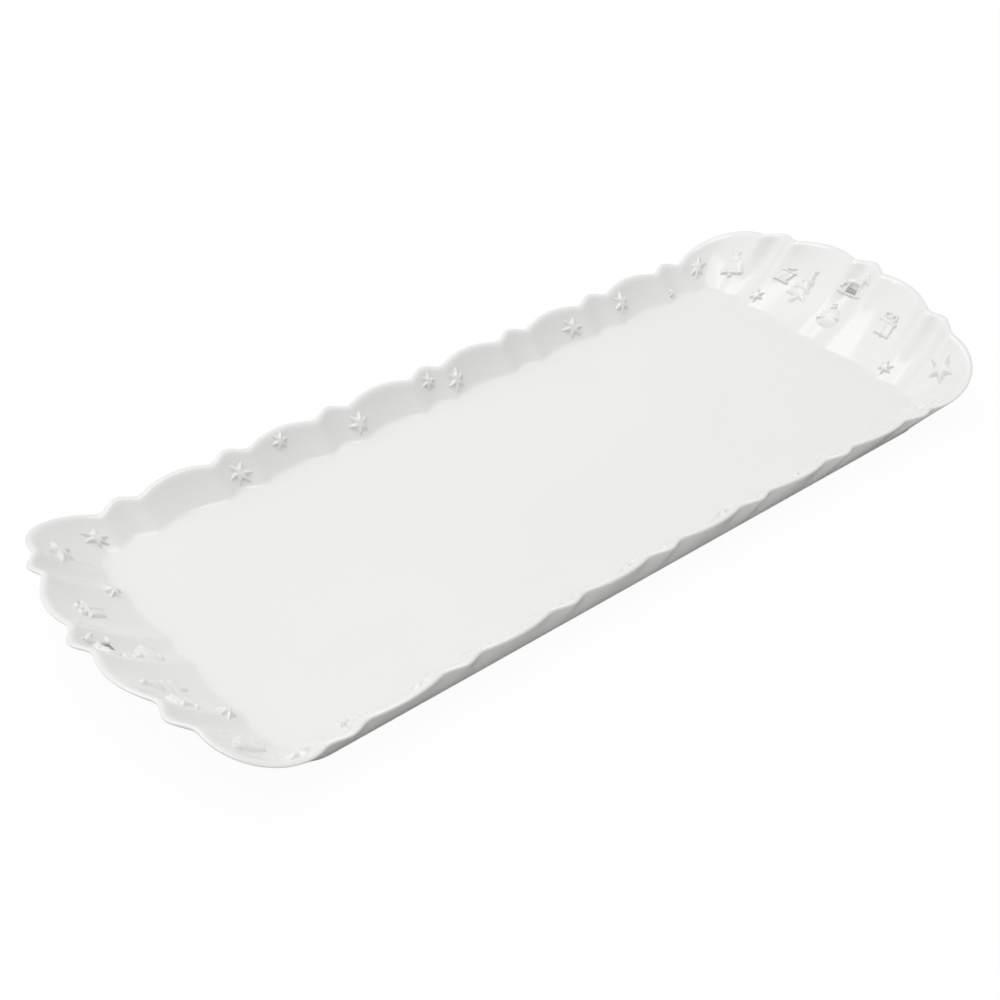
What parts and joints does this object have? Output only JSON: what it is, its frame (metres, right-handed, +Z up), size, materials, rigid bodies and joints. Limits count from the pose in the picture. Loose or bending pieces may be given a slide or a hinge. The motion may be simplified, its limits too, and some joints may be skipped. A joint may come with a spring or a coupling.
{
  "type": "serving platter",
  "caption": "Long white porcelain tray with a flat well, low fluted side walls, tall fluted end walls and small raised ornaments.",
  "frame": {"origin": "centre of the bounding box in plan, at the height of the surface the foot stands on", "axes": "+X along the platter from one tall end wall to the other, +Y across it, +Z up out of the well"},
  "size_m": [0.395, 0.1546, 0.0316],
  "materials": {
    "glazed_porcelain": "clear glossy glaze over white porcelain",
    "unglazed_porcelain": "bare ground foot, matt"
  },
  "bodies": {
    "root": {"bauble_end_far": "glazed_porcelain", "bauble_end_near": "glazed_porcelain", "bell_corner_far_right": "glazed_porcelain", "bell_corner_near_left": "glazed_porcelain", "broad_star_corner_far_left": "glazed_porcelain", "broad_star_corner_near_right": "glazed_porcelain", "drum_end_far": "glazed_porcelain", "drum_end_near": "glazed_porcelain", "foot_ring": "unglazed_porcelain", "gift_end_far": "glazed_porcelain", "gift_end_near": "glazed_porcelain", "horse_end_far": "glazed_porcelain", "horse_end_near": "glazed_porcelain", "platter_body": "glazed_porcelain", "star_corner_far_left": "glazed_porcelain", "star_corner_far_right": "glazed_porcelain", "star_corner_near_left": "glazed_porcelain", "star_corner_near_right": "glazed_porcelain", "star_end_a_far": "glazed_porcelain", "star_end_a_near": "glazed_porcelain", "star_end_b_far": "glazed_porcelain", "star_end_b_near": "glazed_porcelain", "star_side_a_far": "glazed_porcelain", "star_side_a_near": "glazed_porcelain", "star_side_b_far": "glazed_porcelain", "star_side_b_near": "glazed_porcelain", "star_side_c_far": "glazed_porcelain", "star_side_c_near": "glazed_porcelain", "star_side_d_far": "glazed_porcelain", "star_side_d_near": "glazed_porcelain", "star_side_e_far": "glazed_porcelain", "star_side_e_near": "glazed_porcelain", "star_side_f_far": "glazed_porcelain", "star_side_f_near": "glazed_porcelain", "star_side_g_far": "glazed_porcelain", "star_side_g_near": "glazed_porcelain", "star_side_h_far": "glazed_porcelain", "star_side_h_near": "glazed_porcelain", "tree_end_far": "glazed_porcelain", "tree_end_near": "glazed_porcelain"}
  },
  "joints": []
}
